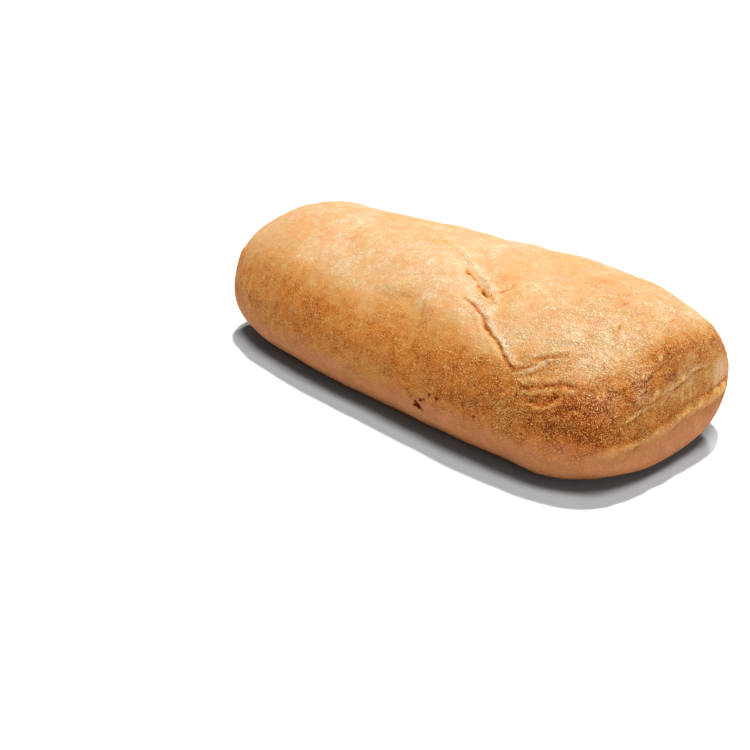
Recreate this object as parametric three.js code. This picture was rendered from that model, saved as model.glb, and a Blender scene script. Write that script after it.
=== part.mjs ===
// A hearth-baked sourdough loaf, modelled as the single piece of bread that it is.
// Units are millimetres, +Z is up and +X points to the broader end of the loaf.
// The origin lies on the resting surface, under the middle of the loaf's bounding box.
import * as THREE from "three";
import { mergeVertices } from "three/addons/utils/BufferGeometryUtils.js";

// Driving dimensions of the risen dough.
const BROAD_HALF_LENGTH = 135; // from the widest section's reference plane to the +X tip
const NARROW_HALF_LENGTH = 138;
const WIDTH = 126; // at the middle, before one end is made broader
const CROWN_HEIGHT = 49; // from the widest level up to the crown
const WIDEST_LEVEL = 27.5; // height of the widest level above the base
const BELLY_DEPTH = 36; // the belly's own curve, which the flat base cuts short
const BROAD_END_BLUNTNESS = 4.5; // 2 is an ellipsoid, and higher values square off an end
const NARROW_END_BLUNTNESS = 3.8;
const CROWN_ROUNDNESS = 2.0;
const BELLY_ROUNDNESS = 2.25;
const WIDTH_TAPER = 0.105; // the share by which the +X end is broader and the -X end narrower
const HEIGHT_TAPER = 0.055;

// The slash that the baker cut across the crown, as points in plan, and the section it opened to.
const SLASH_POINTS = [
  [-38, 26],
  [-10, 6],
  [26, -22],
  [58, -42],
  [88, -57],
];
const SLASH_HALF_WIDTH = 6.5;
const SLASH_DEPTH = 3.2;
const LIP_OFFSET = 10; // how far the raised lip stands from the slash, on the narrower end's side
const LIP_HEIGHT = 1.5;
const SLASH_FADE = 14; // the length over which the slash runs out at each end
const SLASH_SAMPLES = 60;

// The dough's slow unevenness: wavelengths in millimetres along X and Y, a phase and a height.
const SWELLS = [
  { alongX: 95, alongY: 140, phase: 0.6, height: 0.8 },
  { alongX: 58, alongY: -90, phase: 2.1, height: 0.5 },
  { alongX: 150, alongY: 60, phase: 4.0, height: 0.5 },
];

const SPHERE_DETAIL = 17; // an icosahedron's edge is cut into this many parts and one more

const TOP_CRUST = { color: 0xc98a4b, roughness: 0.6, metalness: 0 };

// Where a direction on the unit sphere meets the plain loaf, measured from the centre of its widest level.
function plainLoaf(direction) {
  const { x, y, z } = direction;
  const roundness = z > 0 ? CROWN_ROUNDNESS : BELLY_ROUNDNESS;
  const section = (Math.abs(y) ** roundness + Math.abs(z) ** roundness) ** (1 / roundness);
  const bluntness = x > 0 ? BROAD_END_BLUNTNESS : NARROW_END_BLUNTNESS;
  const halfLength = x > 0 ? BROAD_HALF_LENGTH : NARROW_HALF_LENGTH;
  const reach = (Math.abs(x) ** bluntness + section ** bluntness) ** (-1 / bluntness);
  const along = x * reach;
  const height = z > 0 ? CROWN_HEIGHT * (1 + HEIGHT_TAPER * along) : BELLY_DEPTH;
  return new THREE.Vector3(
    halfLength * along,
    (WIDTH / 2) * (1 + WIDTH_TAPER * along) * y * reach,
    height * z * reach,
  );
}

// The slash's centreline in plan, as evenly spaced samples with their distance from the nearer end.
function slashSamples() {
  const curve = new THREE.SplineCurve(SLASH_POINTS.map(([x, y]) => new THREE.Vector2(x, y)));
  const total = curve.getLength();
  return curve.getSpacedPoints(SLASH_SAMPLES).map((point, i) => {
    const travelled = (i / SLASH_SAMPLES) * total;
    return { point, tangent: curve.getTangentAt(i / SLASH_SAMPLES), fromEnd: Math.min(travelled, total - travelled) };
  });
}

// How far the slash sinks the crown, or its lip raises it, at a point in plan.
function slashRelief(samples, x, y) {
  let nearest = samples[0];
  let least = Infinity;
  for (const sample of samples) {
    const distance = Math.hypot(x - sample.point.x, y - sample.point.y);
    if (distance < least) [nearest, least] = [sample, distance];
  }
  const { point, tangent, fromEnd } = nearest;
  // Positive on the side of the broader end.
  const side = (x - point.x) * -tangent.y + (y - point.y) * tangent.x;
  const strength = THREE.MathUtils.smoothstep(fromEnd, 0, SLASH_FADE);
  const beyond = Math.sqrt(Math.max(least ** 2 - side ** 2, 0));
  const groove = -SLASH_DEPTH * Math.exp(-((side / SLASH_HALF_WIDTH) ** 2));
  const lip = LIP_HEIGHT * Math.exp(-(((side + LIP_OFFSET) / SLASH_HALF_WIDTH) ** 2));
  return strength * Math.exp(-((beyond / SLASH_HALF_WIDTH) ** 2)) * (groove + lip);
}

function swell(x, y) {
  const turn = 2 * Math.PI;
  return SWELLS.reduce(
    (sum, s) => sum + s.height * Math.sin((turn * x) / s.alongX + (turn * y) / s.alongY + s.phase),
    0,
  );
}

function loafGeometry() {
  const geometry = new THREE.IcosahedronGeometry(1, SPHERE_DETAIL);
  geometry.deleteAttribute("normal");
  geometry.deleteAttribute("uv");
  const solid = mergeVertices(geometry);
  const position = solid.attributes.position;
  const samples = slashSamples();
  const direction = new THREE.Vector3();
  for (let i = 0; i < position.count; i++) {
    direction.fromBufferAttribute(position, i);
    const point = plainLoaf(direction);
    // Relief fades from full on the crown to none at the widest level, so the base stays flat.
    const onCrown = THREE.MathUtils.smoothstep(point.z, 0, CROWN_HEIGHT * 0.5);
    point.z += onCrown * (slashRelief(samples, point.x, point.y) + swell(point.x, point.y));
    position.setXYZ(i, point.x, point.y, Math.max(point.z, -WIDEST_LEVEL));
  }
  solid.computeBoundingBox();
  const { min, max } = solid.boundingBox;
  solid.translate(-(min.x + max.x) / 2, -(min.y + max.y) / 2, -min.z);
  solid.computeVertexNormals();
  return solid;
}

const loaf = new THREE.Mesh(loafGeometry(), new THREE.MeshStandardMaterial(TOP_CRUST));
loaf.name = "loaf";

const bread = new THREE.Group();
bread.add(loaf);

export default bread;
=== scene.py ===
import math

import bpy
import numpy as np
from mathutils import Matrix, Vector, noise
from mathutils.bvhtree import BVHTree
from mathutils.kdtree import KDTree


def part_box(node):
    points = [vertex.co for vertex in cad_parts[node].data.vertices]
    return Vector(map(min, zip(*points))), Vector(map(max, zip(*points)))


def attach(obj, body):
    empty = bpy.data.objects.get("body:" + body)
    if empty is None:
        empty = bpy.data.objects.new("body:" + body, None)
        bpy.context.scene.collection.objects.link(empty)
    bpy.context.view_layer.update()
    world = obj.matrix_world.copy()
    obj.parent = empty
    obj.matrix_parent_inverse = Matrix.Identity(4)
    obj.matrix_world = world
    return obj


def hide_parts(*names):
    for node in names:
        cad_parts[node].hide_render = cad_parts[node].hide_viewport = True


# A hearth-baked sourdough loaf: one solid piece of bread with a slashed, blistered crust.
# The lengths in the dictionaries are millimetres in the frame's own axes: +X is the broad end, +Z is up.
# Their angles are degrees, and azimuth 0 is the front, -Y, from which it turns towards +X.

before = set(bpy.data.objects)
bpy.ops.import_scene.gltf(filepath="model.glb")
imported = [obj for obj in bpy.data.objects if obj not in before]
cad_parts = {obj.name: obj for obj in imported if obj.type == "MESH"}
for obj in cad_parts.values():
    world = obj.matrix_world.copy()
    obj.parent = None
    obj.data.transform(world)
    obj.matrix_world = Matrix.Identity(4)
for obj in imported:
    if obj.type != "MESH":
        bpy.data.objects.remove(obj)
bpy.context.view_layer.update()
mm = 0.001


def direction(azimuth, elevation):
    around, above = math.radians(azimuth), math.radians(elevation)
    flat = math.cos(above)
    return Vector((math.sin(around) * flat, -math.cos(around) * flat, math.sin(above)))


def linear(hexColour):
    parts = [int(hexColour[i:i + 2], 16) / 255 for i in (0, 2, 4)]
    return tuple(p / 12.92 if p <= 0.04045 else ((p + 0.055) / 1.055) ** 2.4 for p in parts) + (1.0,)


def addNode(tree, kind, settings=None, inputs=None):
    node = tree.nodes.new(kind)
    for name, value in (settings or {}).items():
        setattr(node, name, value)
    for name, value in (inputs or {}).items():
        if isinstance(value, bpy.types.NodeSocket):
            tree.links.new(value, node.inputs[name])
        else:
            node.inputs[name].default_value = value
    return node


# ---- camera, floor and lights

shot = {
    "aimPoint": (16.5, -70, 30),
    "azimuth": 45.9,
    "elevation": 24.6,
    "distance": 600,
    "lens": 62.1,
    "sensorWidth": 36,
    "nearest": 10,  # nothing nearer than this is seen
}


def addCamera():
    back = direction(shot["azimuth"], shot["elevation"])
    place = Vector(shot["aimPoint"]) * mm + back * shot["distance"] * mm
    bpy.ops.object.camera_add(location=place, rotation=(-back).to_track_quat("-Z", "Y").to_euler())
    camera = bpy.context.object
    camera.name = "studioCamera"
    camera.data.lens = shot["lens"]
    camera.data.sensor_width = shot["sensorWidth"]
    camera.data.clip_start = shot["nearest"] * mm
    bpy.context.scene.camera = camera


studio = {
    "floorSide": 40000,
    "floorColour": "e8e8e8",
    "floorRoughness": 0.9,
    "floorSheen": 0.1,
    "skyColour": "eef2f8",
    "skyStrength": 0.1,
    "horizonStrength": 0.84,
    "horizonBand": (6.4, 7.4),  # the pale band above the horizon fades out between these elevations
    "lampDistance": 1500,
    # azimuth, elevation, strength and angular size of each sun lamp
    "suns": {
        "overheadLamp": (200, 80.5, 1.92, 4),
        "frontLamp": (48, 70, 1.12, 20),
        "backLamp": (200, 44, 0.95, 6),
    },
    # azimuth, elevation, watts and side of the square fill lamp
    "fillLamp": (64, 14, 3.1, 900),
}


def addFloor():
    bpy.ops.object.select_all(action="DESELECT")
    bpy.ops.mesh.primitive_plane_add(size=studio["floorSide"] * mm)
    floor = bpy.context.object
    floor.name = "floor"
    # uncoated paper: it scatters the light and hardly shines
    paper = bpy.data.materials.new("paleMattPaper")
    paper.use_nodes = True
    shader = paper.node_tree.nodes["Principled BSDF"]
    shader.inputs["Base Color"].default_value = linear(studio["floorColour"])
    shader.inputs["Roughness"].default_value = studio["floorRoughness"]
    shader.inputs["Specular IOR Level"].default_value = studio["floorSheen"]
    floor.data.materials.append(paper)


def addSky():
    # dim overhead, with a pale band above the horizon that hides where the floor ends
    world = bpy.data.worlds.new("studioWorld")
    world.use_nodes = True
    tree = world.node_tree
    ray = addNode(tree, "ShaderNodeTexCoord").outputs["Generated"]
    height = addNode(tree, "ShaderNodeSeparateXYZ", {}, {"Vector": ray}).outputs["Z"]
    bandLow, bandHigh = (math.sin(math.radians(elevation)) for elevation in studio["horizonBand"])
    glow = addNode(
        tree, "ShaderNodeMapRange", {},
        {"Value": height, "From Min": bandLow, "From Max": bandHigh,
         "To Min": studio["horizonStrength"], "To Max": studio["skyStrength"]},
    ).outputs["Result"]
    sky = tree.nodes["Background"]
    sky.inputs["Color"].default_value = linear(studio["skyColour"])
    tree.links.new(glow, sky.inputs["Strength"])
    bpy.context.scene.world = world


def addLamp(name, kind, azimuth, elevation, strength):
    toLamp = direction(azimuth, elevation)
    place = toLamp * studio["lampDistance"] * mm
    bpy.ops.object.light_add(type=kind, location=place, rotation=toLamp.to_track_quat("Z", "Y").to_euler())
    lamp = bpy.context.object
    lamp.name = name
    lamp.data.energy = strength
    return lamp


def addLamps():
    for name, (azimuth, elevation, strength, spread) in studio["suns"].items():
        sun = addLamp(name, "SUN", azimuth, elevation, strength)
        sun.data.angle = math.radians(spread)
    azimuth, elevation, watts, side = studio["fillLamp"]
    fill = addLamp("fillLamp", "AREA", azimuth, elevation, watts)
    fill.data.size = side * mm


addCamera()
addFloor()
addSky()
addLamps()
bpy.context.scene.view_settings.view_transform = "Standard"
bpy.context.scene.view_settings.look = "High Contrast"
bpy.context.scene.cycles.diffuse_bounces = 1  # keeps the crust's warm bounce out of the shadow
print("camera, floor and lights are in place")


# ---- the loaf's shape

dough = {
    "blockMargin": 1.02,  # the starting block is this much larger than the solid
    "cuts": 26,  # across each side of the block
    "facetSmoothing": 6,
    "gridSize": 1.28,  # edge of the sculpted mesh's quads
    "finerWithin": 4.5,  # they are half as large this near to a crack, fold or burst bubble
    "gridSmoothing": 4,
    "smoothingFactor": 0.5,
    "restingHeight": 0.6,  # the foot settles by this much, so that it lies flat on the stone
    "restingFade": 10,  # and the skin above it less and less, up to this height
}


def apply(piece, kind, **settings):
    modifier = piece.modifiers.new(kind.title(), kind)
    for name, value in settings.items():
        setattr(modifier, name, value)
    bpy.ops.object.modifier_apply(modifier=modifier.name)


def addDough():
    low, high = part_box("loaf")
    blockSize = (high - low) * dough["blockMargin"]
    bpy.ops.object.select_all(action="DESELECT")
    bpy.ops.mesh.primitive_cube_add(size=1, location=(low + high) / 2, scale=blockSize)
    piece = bpy.context.object
    piece.name = "sourdoughLoaf"
    bpy.ops.object.transform_apply(location=True, rotation=True, scale=True)
    bpy.ops.object.mode_set(mode="EDIT")
    bpy.ops.mesh.select_all(action="SELECT")
    bpy.ops.mesh.subdivide(number_cuts=dough["cuts"])
    bpy.ops.object.mode_set(mode="OBJECT")
    apply(piece, "SHRINKWRAP", target=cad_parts["loaf"], wrap_method="NEAREST_SURFACEPOINT")
    apply(piece, "SMOOTH", factor=dough["smoothingFactor"], iterations=dough["facetSmoothing"])
    apply(piece, "SUBSURF", levels=1, render_levels=1)
    apply(piece, "REMESH", mode="VOXEL", voxel_size=dough["gridSize"] * mm)
    apply(piece, "SMOOTH", factor=dough["smoothingFactor"], iterations=dough["gridSmoothing"])
    bpy.ops.object.shade_smooth()
    return piece


def refine(piece):
    # halves the quads where the crust has cracks, folds and burst bubbles
    corners = [v.co / mm for v in piece.data.vertices]
    surface = BVHTree.FromPolygons(corners, [p.vertices for p in piece.data.polygons])
    details = [p for stroke in strokes.values() for p in smoothPath(stroke["path"], surface)]
    details += [pit[0] for pit in pits]
    tree = KDTree(len(details))
    for index, place in enumerate(details):
        tree.insert(place, index)
    tree.balance()
    for face in piece.data.polygons:
        face.select = tree.find(face.center / mm)[2] < dough["finerWithin"]
    bpy.ops.object.mode_set(mode="EDIT")
    bpy.ops.mesh.select_mode(type="FACE")
    bpy.ops.mesh.subdivide(number_cuts=1)
    bpy.ops.object.mode_set(mode="OBJECT")


# Each stroke is a line on the crust with folds beside it: distance to the left of the line, width,
# height, and how much darker it is painted there (negative is paler): partly its bake and pale torn
# skin, partly painted shade in cracks and dips and painted highlights on raised lips. It fades in and
# out over the two lengths, wanders off its line, and is uneven along it. Flour may cling beside it:
# distance to the left, width and strength.
strokes = {
    "slashRibbon": {
        "path": [(-14, 9, 76), (-4, 0, 77), (12, -7, 77), (19, -11, 77), (35, -21, 75), (48, -28, 73),
                 (57, -34, 71), (61, -43, 66), (71, -49, 61), (80, -53, 57), (86, -55, 54)],
        "fade": (42, 26), "wander": 1.3, "uneven": 0.5,
        "folds": [(0, 1.1, 0.3, -0.05), (5, 4, -0.4, 0.03), (-3.2, 2.2, -0.4, 0.04)],
        "flour": (0.2, 2.0, 0.42),
    },
    "slashCrack": {
        "path": [(27, -19, 75), (31, -23, 74), (37, -26, 74), (42, -29, 73), (46, -31, 72),
                 (50, -33, 71), (54, -35, 70)],
        "fade": (5, 3), "wander": 1.1, "uneven": 0.7,
        "folds": [(-1.0, 0.55, -0.8, 0.4), (-2.2, 1.2, 0.2, 0.0)],
    },
    "slashCorner": {
        "path": [(52, -36, 70), (54, -33, 71), (56, -30, 72), (58, -26, 73), (59, -23, 74)],
        "fade": (2, 7), "wander": 0.5, "uneven": 0.4,
        "folds": [(0, 0.4, -0.4, 0.28)],
    },
    "slashGroove": {
        "path": [(39, -37, 69), (44, -40, 67), (50, -41, 67), (58, -44, 65), (62, -47, 63),
                 (66, -49, 61), (71, -51, 60), (77, -53, 57), (84, -56, 53), (90, -57, 51)],
        "fade": (12, 4), "wander": 0.8, "uneven": 0.3,
        "folds": [(0, 0.75, -1.2, 0.36), (2.2, 1.5, 0.05, -0.08), (-2.2, 1.5, 0.4, -0.03)],
        "flour": (2.7, 2.1, 0.42),
    },
    "slashArm": {
        "path": [(87, -57, 51), (90.5, -57, 51), (94, -55.5, 52.7), (96.7, -53.3, 54.5),
                 (98, -50.5, 56.3), (101.5, -47.5, 58), (106, -45, 59)],
        "fade": (3, 8), "wander": 0.5, "uneven": 0.4,
        "folds": [(0, 0.7, 0.5, -0.26), (2.2, 1.2, -0.5, 0.16), (-1.8, 1.2, -0.3, 0.05)],
        "flour": (0.4, 1.4, 0.3),
    },
    "slashArmUpper": {
        "path": [(94, -52, 57), (99, -49, 59), (104, -45, 61), (109, -43, 62)],
        "fade": (5, 6), "wander": 0.8, "uneven": 0.6,
        "folds": [(0, 1.3, -0.4, 0.16), (2.0, 1.2, 0.3, -0.12)],
    },
    "slashTail": {
        "path": [(90.5, -57.4, 50), (91.5, -57.6, 49.2), (93, -57.8, 48.6), (95.5, -58.2, 48.1),
                 (98, -58, 48)],
        "fade": (2, 3), "wander": 0.3, "uneven": 0.5,
        "folds": [(0, 0.55, 0.45, -0.34), (-1.4, 0.9, -0.3, 0.1)],
    },
    "flankWrinkle": {
        "path": [(92, -59.5, 46.5), (94, -59, 46.8), (98.3, -57.5, 47.2), (102.4, -56, 48.2),
                 (107, -54, 49), (110.5, -52.5, 50.5), (115, -50.5, 50.6), (119, -48.5, 51)],
        "fade": (4, 8), "wander": 1.4, "uneven": 0.6,
        "folds": [(0, 1.1, -0.6, 0.15), (-2.4, 1.0, 0.55, -0.28), (2.8, 1.2, 0.3, -0.1)],
    },
    "flankWrinkleLow": {
        "path": [(100, -60.5, 41.8), (104, -59, 42.4), (107, -57.7, 43.6), (110, -56.5, 45),
                 (113, -54.5, 46.5)],
        "fade": (3, 4), "wander": 1.2, "uneven": 0.6,
        "folds": [(0, 1.0, -0.6, 0.16), (-2.3, 0.9, 0.5, -0.26)],
    },
    "flankWrinkleLowest": {
        "path": [(111, -58.8, 39), (115, -57, 40.8), (117.2, -55.8, 42.4), (119, -54.5, 43.5),
                 (122, -52.5, 44.5)],
        "fade": (3, 4), "wander": 0.8, "uneven": 0.5,
        "folds": [(0, 0.9, -0.5, 0.14), (-2.1, 0.9, 0.5, -0.3)],
    },
    # painted shade: paler above and darker below this fold, sharpening the edge between the lit crown and
    # the shaded flank
    "shoulderFoldAndShadeEdge": {
        "path": [(-16, -44, 62), (1, -45, 62), (9, -43, 64), (17, -43, 65), (24, -47, 62),
                 (31, -49, 60), (37, -55, 54)],
        "fade": (16, 8), "wander": 1.5, "uneven": 0.4,
        "folds": [(2.5, 4.5, 0.45, -0.03), (-5.5, 5.5, -0.6, 0.05)],
    },
    "burstCrack": {
        "path": [(29, -64, 27), (31, -64, 26), (33, -64, 24.5), (36, -64, 21.5), (38, -63, 19)],
        "fade": (3, 1), "wander": 0.4, "uneven": 0.5,
        "folds": [(0, 0.4, -0.4, 0.3)],
    },
    "endCrack": {
        "path": [(134, -33, 40), (136, -22, 41), (136, -14, 42), (136, -6, 42), (136, 2, 43),
                 (136, 11, 45), (135, 26, 44)],
        "fade": (9, 16), "wander": 1.0, "uneven": 0.6,
        "folds": [(0, 0.5, -0.5, 0.24), (2.0, 1.4, 0.45, -0.1), (-4.5, 3.4, -0.5, -0.05)],
        "flour": (1.6, 1.4, 0.35),
    },
    "plateEdge": {
        "path": [(131, -34, 52), (133, -28, 52), (134, -23, 52), (134, -18, 54), (134, -15, 55),
                 (133, -11, 58), (132, -8, 60)],
        "fade": (5, 4), "wander": 1.3, "uneven": 0.7,
        "folds": [(0, 0.4, -0.3, 0.16), (1.8, 1.3, 0.4, -0.1)],
    },
    "endRidge": {
        "path": [(134, 40, 28), (136, 29, 28), (136, 16, 28), (136, 5, 28), (136, -6, 26),
                 (136, -19, 25), (134, -38, 24), (130, -47, 23), (124, -54, 21)],
        "fade": (5, 10), "wander": 0.9, "uneven": 0.3,
        "folds": [(-0.3, 2.0, 1.5, -0.2), (-4.0, 1.6, -0.3, 0.06), (4.8, 3.4, -0.6, 0.0)],
    },
    "endCrease": {
        "path": [(134, -40, 34), (134, -37, 36), (135, -32, 38), (136, -24, 39), (136, -18, 40)],
        "fade": (5, 6), "wander": 0.8, "uneven": 0.5,
        "folds": [(0, 0.8, 0.5, -0.26), (-1.6, 0.9, -0.3, 0.05)],
        "flour": (0, 0.9, 0.4),
    },
    "backCrease": {
        "path": [(-92, 57, 41), (-78, 60, 36), (-60, 62, 35), (-46, 63, 31), (-28, 65, 33),
                 (-14, 66, 31), (6, 66, 34), (20, 65, 33), (34, 65, 37), (52, 64, 36), (64, 63, 40)],
        "fade": (30, 34), "wander": 2.2, "uneven": 0.9,
        "folds": [(0, 0.8, -0.45, 0.14), (2.6, 2.0, 0.4, -0.08), (-3.6, 2.6, -0.3, 0.02)],
        "flour": (2.2, 2.4, 0.3),
    },
    "backWrinkle": {
        "path": [(-38, 60, 47), (-26, 62, 45), (-14, 63, 46), (-4, 64, 43), (8, 64, 45)],
        "fade": (10, 14), "wander": 1.6, "uneven": 0.8,
        "folds": [(0, 1.3, -0.45, 0.12), (-2.6, 1.4, 0.4, -0.12)],
    },
    "narrowEndCrack": {
        "path": [(-124, 40, 46), (-130, 28, 44), (-135, 15, 41), (-136, 3, 43), (-136, -8, 38),
                 (-134, -22, 37), (-128, -36, 33)],
        "fade": (12, 22), "wander": 1.5, "uneven": 0.7,
        "folds": [(0, 0.7, -0.6, 0.24), (2.2, 1.6, 0.45, -0.1), (-4.0, 3.0, -0.4, -0.03)],
    },
    "narrowEndWrinkle": {
        "path": [(-124, -40, 47), (-129, -31, 49), (-132, -22, 48), (-134, -13, 50)],
        "fade": (6, 10), "wander": 1.5, "uneven": 0.7,
        "folds": [(0, 1.2, -0.4, 0.12), (2.4, 1.3, 0.35, -0.12)],
    },
    "crownHairlineA": {
        "path": [(73, -20, 76), (77, -19, 76), (81, -18, 76)],
        "fade": (3, 3), "wander": 0.6, "uneven": 0.6,
        "folds": [(0, 0.4, -0.2, 0.15)],
    },
    "crownHairlineB": {
        "path": [(109, -11, 74), (109, -7, 74), (110, -3, 74)],
        "fade": (3, 3), "wander": 0.6, "uneven": 0.6,
        "folds": [(0, 0.4, -0.2, 0.15)],
    },
    "crownHairlineC": {
        "path": [(118, -25, 68), (116, -22, 70), (115, -19, 71)],
        "fade": (2, 3), "wander": 0.6, "uneven": 0.6,
        "folds": [(0, 0.4, -0.25, 0.2)],
    },
    "crownHairlineD": {
        "path": [(125, 0, 68), (125, 4, 68), (125, 9, 68)],
        "fade": (3, 3), "wander": 0.6, "uneven": 0.6,
        "folds": [(0, 0.4, -0.3, 0.2)],
    },
}

# Soft rises and dips: place, radius, height and change of bake, which on the crown's middle is painted
# shade.
swells = [
    ((-108, -2, 70), 24, 2.0, 0.0),
    ((-18, 13, 77), 7, 0.9, 0.0),
    ((-9, 9, 77), 3.5, -1.1, 0.08),
    ((8, 29, 72), 8, -1.7, 0.0),
    ((34, 30, 71), 12, 1.3, 0.0),
    ((58, 25, 75), 12, 1.2, 0.0),
    ((46, 14, 77), 13, 1.5, 0.0),
    ((65, 17, 76), 16, 1.5, 0.0),
    ((99, 25, 72), 8, -1.3, 0.0),
    ((110, 28, 70), 6, 1.3, 0.0),
    ((121, 27, 65), 5, -1.1, 0.0),
    ((131, 30, 54), 9, 1.6, 0.0),
    ((38, -52, 56), 14, 0.9, 0.0),
    ((135.5, -9, 49), 3.0, 0.6, 0.22),
    ((118, -57, 38), 18, 0.3, 0.08),
    ((128, -49, 36), 15, 0.2, 0.08),
    ((134, 33, 38), 10, 0.6, -0.2),
    ((135, 8, 36), 18, 0.0, -0.1),
    ((88, -54.5, 54), 2.6, -0.5, 0.14),
    # painted shade: darkens the crown's middle, where the light falls weaker than towards the narrow end
    ((60, -2, 76), 34, 0.0, 0.05),
    ((-1, -5, 76), 3, 0.0, 0.1),
    ((109, -58, 3), 15, 2.6, 0.0),
    ((84, -61, 2), 11, -0.8, 0.0),
]

# Burst bubbles low on the flanks: place, radius, depth.
pits = [
    ((37.4, -63, 18.9), 1.8, 1.6),
    ((35.2, -63, 18.5), 1.0, 0.9),
    ((40, -62, 17.9), 1.1, 0.9),
    ((36.6, -64, 20.6), 1.0, 1.0),
    ((40.4, -64, 23.4), 1.1, 1.0),
    ((42.8, -64, 24.6), 0.9, 0.9),
    ((46.1, -65, 28.2), 0.8, 0.9),
    ((51.2, -65, 28.2), 0.8, 0.8),
    ((73.5, -65, 27), 0.7, 0.7),
    ((99, -63.5, 27.5), 0.6, 0.6),
    ((-52, 62, 22), 1.3, 1.2),
    ((-49, 63, 25), 0.8, 0.8),
    ((86, 60, 24), 1.0, 0.9),
]

# Where the loaf met its neighbour in the oven, the skin is flat, smooth, pale and a little floury.
ovenKiss = {
    "place": (134.2, 32, 40),  # a point on the flat
    "facing": (0.974, 0.227, 0.0),
    "heights": (31, 49),  # the flat lies between these
    "edge": 0.5,  # its upper and lower edges are this soft
    "palePart": 0.6,  # how much of the foot's pallor, of flour and of smoothness it has
    "flouryPart": 0.5,
    "smoothPart": 0.8,
}

# Where flour clung to the crust: place, radius, strength.
flourPatches = [
    ((136, 4, 46), 5, 0.5),
    ((136, -9, 43), 4, 0.5),
    ((104, -36, 67), 7, 0.5),
    ((112, -37, 65), 6, 0.45),
    ((118, -36, 63), 6, 0.5),
    ((115, -43, 59), 7, 0.5),
    ((131, -27, 55), 6, 0.45),
    ((126, -45, 46), 7, 0.3),
    ((134, -28, 47), 5, 0.45),
    ((37, -33, 70), 7, 0.34),
    ((22, -20, 74), 6, 0.3),
    ((10, -11, 76), 5, 0.25),
    ((58, -38, 68), 5, 0.3),
    ((120, -38, 58), 4.5, 0.45),
]

# How the skin differs from place to place.
skin = {
    # size of the lumps in each kind of unevenness, and a shift that keeps it apart from the others
    "wandering": (4.0, 0),
    "ragged": (6.0, 23),
    "slow": (42.0, 3),
    "lumps": (15.0, 7),
    "crinkle": (2.6, 11),
    "crinkleSquash": (1, 1, 1.4),  # crinkles are wider than tall
    "strokeUnevenness": 1.4,  # multiplies each stroke's own
    "strokePeak": 1.6,  # an uneven stroke is never stronger than this
    "foldRaggedness": 0.35,
    "holeRaggedness": 0.35,
    "flourRaggedness": 2,
    "scorched": (0.2, 0.5),  # a burst bubble scorches between these parts of its depth
    "footHeight": 24,
    "footFade": 6,
    "hem": (1, 9),  # the foot is browned below the first height and not above the second
    "onStone": (0.5, 5),  # below the first height the skin only moves sideways, above the second freely
    "crown": (0.4, 0.9),  # how far up the skin faces where the crown begins, and where it is full
    "sole": (0.75, 0.98),  # the same for facing down
    "roughEnd": (45, 135),  # towards the broad end the skin grows rougher between these lengths
    "roughSkew": 0.3,  # it starts sooner at the front, by this part of the width
    "roughBack": (-20, 30, 0.25),  # and calms between the first two towards the back, by the third
    "stretchedEnd": (122, 134),  # the stretched band begins and is full at these lengths
    "stretchedSide": (-38, -12),
    "stretchedHeight": 35,
    "stretchedWidth": 9,
    "soleBake": 0.16,
    "hemBake": 0.06,
    "soleFlour": 0.3,
    "slowBake": 0.07,
    "lumpBake": 0.04,
    "slowRise": 0.9,
    "lumpRise": 0.45,
    "crinkleRise": 0.07,
    "roughCrinkleRise": 0.34,
    "flourRise": 1.1,
}


def bell(distance, width):
    return np.exp(-((distance / width) ** 2))


def ease(value, start, end):
    t = np.clip((value - start) / (end - start), 0, 1)
    return t * t * (3 - 2 * t)


def unevenness(points, size, shift):
    # fractal noise between about -1 and 1, with lumps of about the given size
    layers, weaker, finer = 2, 0.9, 2.1
    places = [Vector(p) / size + Vector((shift, shift, shift)) for p in points]
    return np.array([noise.fractal(place, weaker, finer, layers) for place in places])


def smoothPath(points, surface):
    # a Catmull-Rom curve through the points, laid on the surface about every millimetre
    line = []
    ends = [points[0]] + list(points) + [points[-1]]
    for a, b, c, d in zip(ends, ends[1:], ends[2:], ends[3:]):
        a, b, c, d = (np.array(p, float) for p in (a, b, c, d))
        steps = max(2, round(float(np.linalg.norm(c - b))))
        for t in np.arange(steps) / steps:
            curve = 2 * b + (c - a) * t
            curve += (2 * a - 5 * b + 4 * c - d) * t**2
            curve += (3 * b - a - 3 * c + d) * t**3
            line.append(0.5 * curve)
    line.append(np.array(points[-1], float))
    return np.array([surface.find_nearest(Vector(p))[0] for p in line])


def strokeFields(stroke, points, normals, surface, wandering, ragged):
    # the height, bake with painted shade and highlights, and clinging flour that a stroke adds at each
    # point
    path = smoothPath(stroke["path"], surface)
    reach = 3 * max(abs(offset) + width for offset, width, height, bakeAndShading in stroke["folds"])
    near = np.where(np.all((points > path.min(0) - reach) & (points < path.max(0) + reach), axis=1))[0]
    tangents = np.gradient(path, axis=0)
    tangents /= np.linalg.norm(tangents, axis=1)[:, None] + 1e-9
    lengths = np.concatenate([[0], np.cumsum(np.linalg.norm(np.diff(path, axis=0), axis=1))])
    away = points[near][:, None] - path[None]
    closest = (away**2).sum(2).argmin(1)
    offset = away[np.arange(len(near)), closest]
    left = np.cross(normals[near], tangents[closest])
    side = (offset * left).sum(1) + stroke["wander"] * wandering[near]
    along = lengths[closest] + (offset * tangents[closest]).sum(1)
    fadeIn, fadeOut = stroke["fade"]
    fade = ease(along, -0.5, fadeIn) * ease(lengths[-1] - along, -0.5, fadeOut)
    fade *= np.clip(1 + skin["strokeUnevenness"] * stroke["uneven"] * ragged[near], 0, skin["strokePeak"])
    height, bakeAndShading, flour = np.zeros((3, len(points)))
    for place, width, rise, darker in stroke["folds"]:
        fold = bell(side - place, width * (1 + skin["foldRaggedness"] * ragged[near])) * fade
        height[near] += rise * fold
        bakeAndShading[near] += darker * fold
    place, width, strength = stroke.get("flour", (0, 1, 0))
    flour[near] = strength * bell(side - place, width) * fade
    return height, bakeAndShading, flour


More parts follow.
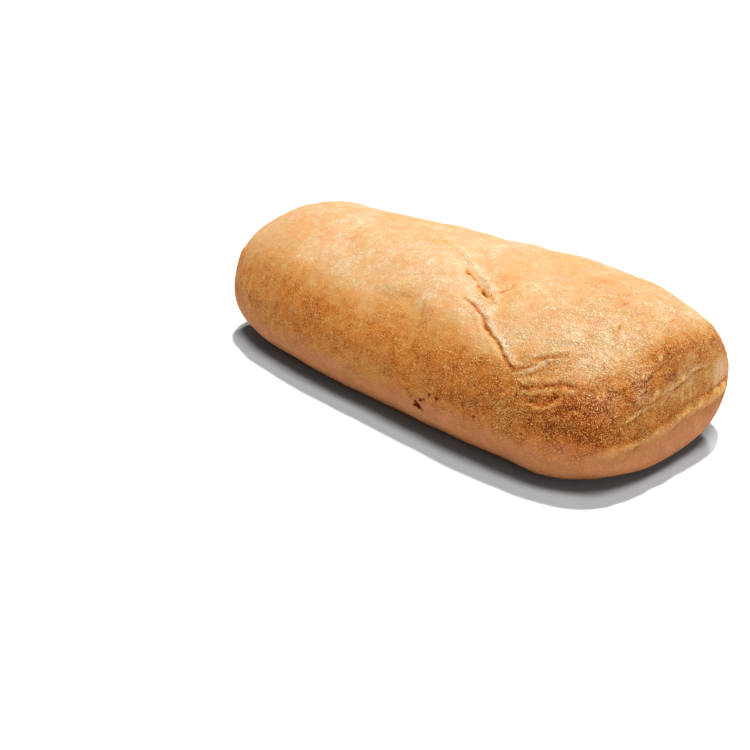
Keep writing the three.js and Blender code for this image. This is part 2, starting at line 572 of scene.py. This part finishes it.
def detailFields(points, normals, surface, wandering, ragged):
    # the height, bake with painted shade and highlights, flour and scorched holes that all the details
    # together add at each point
    height, bakeAndShading, floury, holes = np.zeros((4, len(points)))
    for stroke in strokes.values():
        rise, darker, flour = strokeFields(stroke, points, normals, surface, wandering, ragged)
        height += rise
        bakeAndShading += darker
        floury = np.maximum(floury, flour)
    for place, radius, rise, darker in swells:
        spot = bell(np.linalg.norm(points - place, axis=1), radius)
        height += rise * spot
        bakeAndShading += darker * spot
    for place, radius, depth in pits:
        spot = bell(np.linalg.norm(points - place, axis=1) + skin["holeRaggedness"] * wandering, radius)
        height -= depth * spot
        holes = np.maximum(holes, ease(spot, *skin["scorched"]))
    for place, radius, strength in flourPatches:
        distance = np.linalg.norm(points - place, axis=1) + skin["flourRaggedness"] * ragged
        floury = np.maximum(floury, strength * bell(distance, radius))
    return height, bakeAndShading, floury, holes


def kissFields(raised, z, wandering, ragged):
    # how deep the oven kiss presses in each point, and how far the point shows it, from 0 to 1
    bottom, top = ovenKiss["heights"]
    edge = ovenKiss["edge"]
    beyond = (raised - ovenKiss["place"]) @ np.array(ovenKiss["facing"])
    within = ease(z, bottom - edge, bottom + edge) * (1 - ease(z, top - edge, top + edge))
    shown = ease(beyond + 0.4 * ragged + 0.3 * wandering, -0.4, 0.9)
    shown *= ease(z + 1.5 * wandering, bottom - 1, bottom + 2) * (1 - ease(z + 3 * ragged, top - 7, top))
    return np.maximum(beyond, 0) * within, shown


def sculpt(piece):
    mesh = piece.data
    points = np.empty(len(mesh.vertices) * 3)
    mesh.vertices.foreach_get("co", points)
    points = points.reshape(-1, 3) / mm
    normals = np.array([n.vector for n in mesh.vertex_normals])
    surface = BVHTree.FromPolygons(points.tolist(), [p.vertices for p in mesh.polygons])
    x, y, z = points.T

    wandering = unevenness(points, *skin["wandering"])
    ragged = unevenness(points, *skin["ragged"])
    slow = unevenness(points, *skin["slow"])
    lumps = unevenness(points, *skin["lumps"])
    crinkle = unevenness(points * skin["crinkleSquash"], *skin["crinkle"])
    height, bakeAndShading, floury, holes = detailFields(points, normals, surface, wandering, ragged)

    # the foot lay on the stone, so it stays smooth and pale
    footLine = skin["footHeight"] + 3 * slow + 3 * ragged + 2 * wandering
    foot = 1 - ease(z, footLine - skin["footFade"], footLine + skin["footFade"])
    pressed, kissed = kissFields(points + normals * height[:, None], z, wandering, ragged)
    height -= pressed
    foot = np.maximum(foot, ovenKiss["palePart"] * kissed)
    floury = np.maximum(floury, ovenKiss["flouryPart"] * kissed)

    backFrom, backFull, calmer = skin["roughBack"]
    roughEnd = ease(x - skin["roughSkew"] * y, *skin["roughEnd"])
    roughEnd *= 1 - calmer * ease(y, backFrom, backFull)
    band = bell(z - skin["stretchedHeight"] - 2 * lumps, skin["stretchedWidth"])
    band *= ease(y, *skin["stretchedSide"])
    stretched = ease(x, *skin["stretchedEnd"]) * np.maximum(band, 0.6 * foot)
    crown = ease(normals[:, 2] + 0.07 * lumps + 0.05 * ragged, *skin["crown"])
    sole = ease(-normals[:, 2], *skin["sole"])
    hem = 1 - ease(z, *skin["hem"])
    foot *= (1 - 0.8 * sole) * (1 - 0.3 * hem)
    bakeAndShading += skin["soleBake"] * sole + skin["hemBake"] * hem  # the hot stone browns them
    bakeAndShading += skin["slowBake"] * slow + skin["lumpBake"] * lumps
    floury = np.maximum(floury, skin["soleFlour"] * sole * ease(lumps + 0.5 * ragged, -0.6, 0.9))

    # the grain is fainter on the crown and the foot, and stronger at the rough end
    rough = roughEnd * (1 - 0.8 * foot)
    grainy = (1 - 0.5 * crown) * (1 - 0.15 * foot) + 0.6 * rough * (1 - 0.5 * stretched)
    grainy *= 1 - ovenKiss["smoothPart"] * kissed

    height += skin["slowRise"] * slow + skin["lumpRise"] * lumps * (1 - 0.5 * foot)
    height += skin["crinkleRise"] * crinkle
    height += skin["roughCrinkleRise"] * crinkle * rough * (1 - 0.6 * stretched)
    height += skin["flourRise"] * crinkle * floury * (1 - foot)
    push = np.stack([height, height, height * ease(z, *skin["onStone"])], axis=1)
    moved = points + normals * push
    moved[:, 2] -= dough["restingHeight"] * (1 - ease(z, dough["restingHeight"], dough["restingFade"]))
    moved[:, 2] = np.maximum(moved[:, 2], 0)
    mesh.vertices.foreach_set("co", (moved * mm).ravel())

    fields = {
        "bakeAndShading": bakeAndShading,
        "foot": foot,
        "crown": crown,
        "grainy": grainy,
        "stretched": stretched,
        "floury": floury,
        "holes": holes,
    }
    for name, values in fields.items():
        mesh.attributes.new(name, "FLOAT", "POINT").data.foreach_set("value", values.astype(np.float32))
    mesh.update()


loaf = addDough()
refine(loaf)
print("the dough is shaped:", len(loaf.data.polygons), "faces")
sculpt(loaf)
print("the crust is sculpted")


# ---- the crust's material

crust = {
    # how far it is baked, and the colour there
    "bakeRamp": [
        (0.0, "f2dfc6"),
        (0.25, "c8ac87"),
        (0.45, "ce9b5f"),
        (0.62, "bc7533"),
        (0.80, "964c18"),
        (1.0, "75340f"),
    ],
    "flankTint": "fff0c8",  # the flanks brown to gold; the crown stays a duller beige, partly its floured crust, partly painted sheen of the light on top
    "footColour": "c48b68",
    "flushColour": "d99a78",  # the faint pink of a thin, well-stretched skin
    "speckAndGlintColour": "e6b97c",  # the tops of the tiny blisters: partly their drier skin, partly painted glints of the light
    "flourColour": "f2e2cc",
    "holeColour": "6e2410",
    # noise type, lump size, detail, roughness, distortion and squash of each cloud
    "clouds": {
        "patches": ("FBM", 16, 3, 0.6, 0.0, (1, 1, 1)),
        "flushes": ("FBM", 8, 2, 0.5, 0.6, (1, 1, 1)),
        "clusters": ("FBM", 6, 2, 0.5, 0.0, (1, 1, 1)),
        "mottles": ("FBM", 4.0, 3, 0.65, 0.3, (1, 1, 1)),
        "streaks": ("FBM", 2.0, 2, 0.5, 0.0, (1, 1, 0.15)),  # they run up and down
        "wrinkles": ("RIDGED_MULTIFRACTAL", 1.0, 1, 0.5, 0.0, (0.65, 0.65, 1.25)),
        "grain": ("FBM", 0.5, 1, 0.5, 0.0, (1, 1, 1)),  # blisters half a millimetre across
    },
    # what is read, between which low and high values, and what it gives at each
    "ranges": {
        # painted sheen: the upward-facing crown is painted paler than the flanks, partly for its floured
        # crust
        "baseBakeAndSheen": ("crown", 0.0, 1.0, 0.50, 0.30),
        "patchBake": ("patches", 0.3, 0.7, -0.05, 0.05),
        "mottleBake": ("mottles", 0.3, 0.7, -0.07, 0.07),
        "clustering": ("clusters", 0.38, 0.62, 0.7, 1.2),
        "grainBakeAndShading": ("grain", 0.5, 0.66, 0.0775, -0.2325),  # hollows are painted darker and crests paler: partly the crust's tone, partly painted shade and highlight
        # painted highlight: the wrinkles' crests are painted paler and their troughs a little darker
        "wrinkleBakeAndShading": ("wrinkles", 0.06, 0.24, 0.0289, -0.1411),
        "streakBake": ("streaks", 0.35, 0.65, -0.14, 0.12),
        "gold": ("crown", 0.0, 1.0, 1.0, 0.0),
        "footPallor": ("mottles", 0.36, 0.64, 0.42, 0.86),
        "flush": ("flushes", 0.44, 0.66, 0.0, 0.3),
        # painted highlight: pale specks on the grain's crests stand partly for glints of the light
        "specksAndGlints": ("grain", 0.5, 0.66, 0.0, 0.26),
        "flour": ("grain", 0.44, 0.6, 0.0, 1.0),
        "scorch": ("holes", 0.0, 1.0, 0.0, 1.0),
        "roughness": ("mottles", 0.3, 0.7, 0.44, 0.64),
    },
    "relief": {"grain": 0.8, "wrinkles": 0.4},  # heights
    "footRoughness": 0.12,  # the foot is this much rougher
    "sheen": 0.22,
}


def crustMaterial():
    # well-baked lean crust: a starchy satin skin wrinkled over tiny blisters, golden on the flanks,
    # chestnut on the broad end, and paler where it is stretched or lay on the stone
    material = bpy.data.materials.new("bakedCrust")
    material.use_nodes = True
    tree = material.node_tree
    tree.nodes.clear()
    place = addNode(tree, "ShaderNodeTexCoord").outputs["Object"]
    read = {}
    for name in ("bakeAndShading", "foot", "crown", "grainy", "stretched", "floury", "holes"):
        read[name] = addNode(tree, "ShaderNodeAttribute", {"attribute_name": name}).outputs["Fac"]
    for name, (kind, size, detail, roughness, distortion, squash) in crust["clouds"].items():
        squashed = addNode(tree, "ShaderNodeMapping", {}, {"Vector": place, "Scale": squash})
        read[name] = addNode(
            tree, "ShaderNodeTexNoise", {"noise_type": kind},
            {"Vector": squashed.outputs["Vector"], "Scale": 1 / (size * mm), "Detail": detail,
             "Roughness": roughness, "Distortion": distortion},
        ).outputs["Fac"]
    given = {}
    for name, (source, low, high, atLow, atHigh) in crust["ranges"].items():
        given[name] = addNode(
            tree, "ShaderNodeMapRange", {},
            {"Value": read[source], "From Min": low, "From Max": high, "To Min": atLow, "To Max": atHigh},
        ).outputs["Result"]

    # the grain comes in clusters, and the skin is thin on the crown and the foot
    grainy = addNode(
        tree, "ShaderNodeMath", {"operation": "MULTIPLY"}, {0: read["grainy"], 1: given["clustering"]}
    ).outputs[0]
    thin = addNode(
        tree, "ShaderNodeMath", {"operation": "MAXIMUM"}, {0: read["crown"], 1: read["foot"]}
    ).outputs[0]

    # how dark the crust is painted at each point, from 0, torn and pale, to 1, chestnut: mostly its bake,
    # partly painted shade in hollows, cracks and dips, and painted sheen and highlights on the crown and
    # the crests
    level = given["baseBakeAndSheen"]
    for change in (read["bakeAndShading"], given["patchBake"], given["mottleBake"]):
        level = addNode(tree, "ShaderNodeMath", {"operation": "ADD"}, {0: level, 1: change}).outputs[0]
    for name, where in (("grainBakeAndShading", grainy), ("wrinkleBakeAndShading", grainy), ("streakBake", read["stretched"])):
        level = addNode(
            tree, "ShaderNodeMath", {"operation": "MULTIPLY_ADD"}, {0: given[name], 1: where, 2: level}
        ).outputs[0]
    ramp = addNode(tree, "ShaderNodeValToRGB", {}, {"Fac": level})
    stops = ramp.color_ramp.elements
    while len(stops) < len(crust["bakeRamp"]):
        stops.new(0.5)
    for stop, (position, tint) in zip(stops, crust["bakeRamp"]):
        stop.position = position
        stop.color = linear(tint)
    colour = addNode(
        tree, "ShaderNodeMix", {"data_type": "RGBA", "blend_type": "MULTIPLY"},
        {"Factor": given["gold"], 6: ramp.outputs["Color"], 7: linear(crust["flankTint"])},
    ).outputs[2]

    # what lies over the baked colour, and where; the specks are partly painted glints of the light
    for name, where, tint in (
        ("footPallor", read["foot"], "footColour"),
        ("flush", thin, "flushColour"),
        ("specksAndGlints", grainy, "speckAndGlintColour"),
        ("flour", read["floury"], "flourColour"),
        ("scorch", 1.0, "holeColour"),
    ):
        amount = addNode(
            tree, "ShaderNodeMath", {"operation": "MULTIPLY"}, {0: given[name], 1: where}
        ).outputs[0]
        colour = addNode(
            tree, "ShaderNodeMix", {"data_type": "RGBA"},
            {"Factor": amount, 6: colour, 7: linear(crust[tint])},
        ).outputs[2]

    roughness = addNode(
        tree, "ShaderNodeMath", {"operation": "MULTIPLY_ADD"},
        {0: read["foot"], 1: crust["footRoughness"], 2: given["roughness"]},
    ).outputs[0]
    relief = 0.0
    for name, height in crust["relief"].items():
        relief = addNode(
            tree, "ShaderNodeMath", {"operation": "MULTIPLY_ADD"}, {0: read[name], 1: height, 2: relief}
        ).outputs[0]
    relief = addNode(tree, "ShaderNodeMath", {"operation": "MULTIPLY"}, {0: relief, 1: grainy}).outputs[0]
    bump = addNode(
        tree, "ShaderNodeBump", {}, {"Strength": 1.0, "Distance": mm, "Height": relief}
    ).outputs["Normal"]
    shader = addNode(
        tree, "ShaderNodeBsdfPrincipled", {},
        {"Base Color": colour, "Roughness": roughness, "Normal": bump,
         "Specular IOR Level": crust["sheen"]},
    )
    addNode(tree, "ShaderNodeOutputMaterial", {}, {"Surface": shader.outputs["BSDF"]})
    return material


loaf.data.materials.clear()
loaf.data.materials.append(crustMaterial())
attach(loaf, "root")
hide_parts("loaf")
print("the crust has its material")

triangles = sum(len(p.vertices) - 2 for p in loaf.data.polygons)
print("triangles:", triangles)
